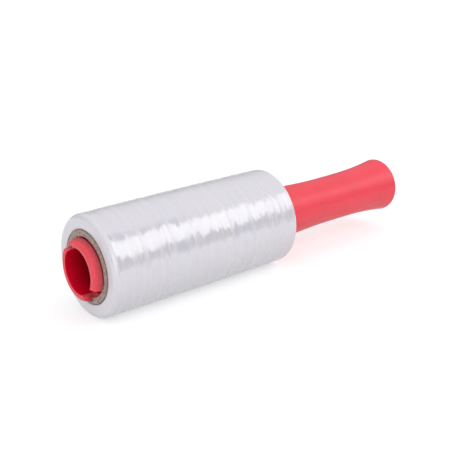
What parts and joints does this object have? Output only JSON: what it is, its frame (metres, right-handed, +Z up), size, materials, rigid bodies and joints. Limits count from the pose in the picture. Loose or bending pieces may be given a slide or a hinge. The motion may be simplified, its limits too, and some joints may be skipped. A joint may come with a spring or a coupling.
{
  "type": "stretch wrap roll",
  "caption": "Hand roll of clear stretch film wound on a paper core, turning on a one-piece hollow plastic handle with a split snap-in nose and a flared grip.",
  "frame": {"origin": "under the middle of the whole object, on the surface that it lies on", "axes": "+X along the roll from the split nose towards the grip, +Z up"},
  "size_m": [0.2336, 0.0574, 0.0568],
  "materials": {
    "film": "clear film, cloudy white when wound",
    "paper_tube": "raw grey-brown paper tube",
    "handle_plastic": "satin moulded polyethylene"
  },
  "bodies": {
    "roll": {"film_roll": "film", "core": "paper_tube"},
    "handle": {"handle": "handle_plastic"}
  },
  "joints": [
    {"name": "handle_spin", "type": "hinge", "parent": "roll", "child": "handle", "pos_m": [0, 0, 0.02715], "axis": [1, 0, 0], "continuous": true}
  ]
}
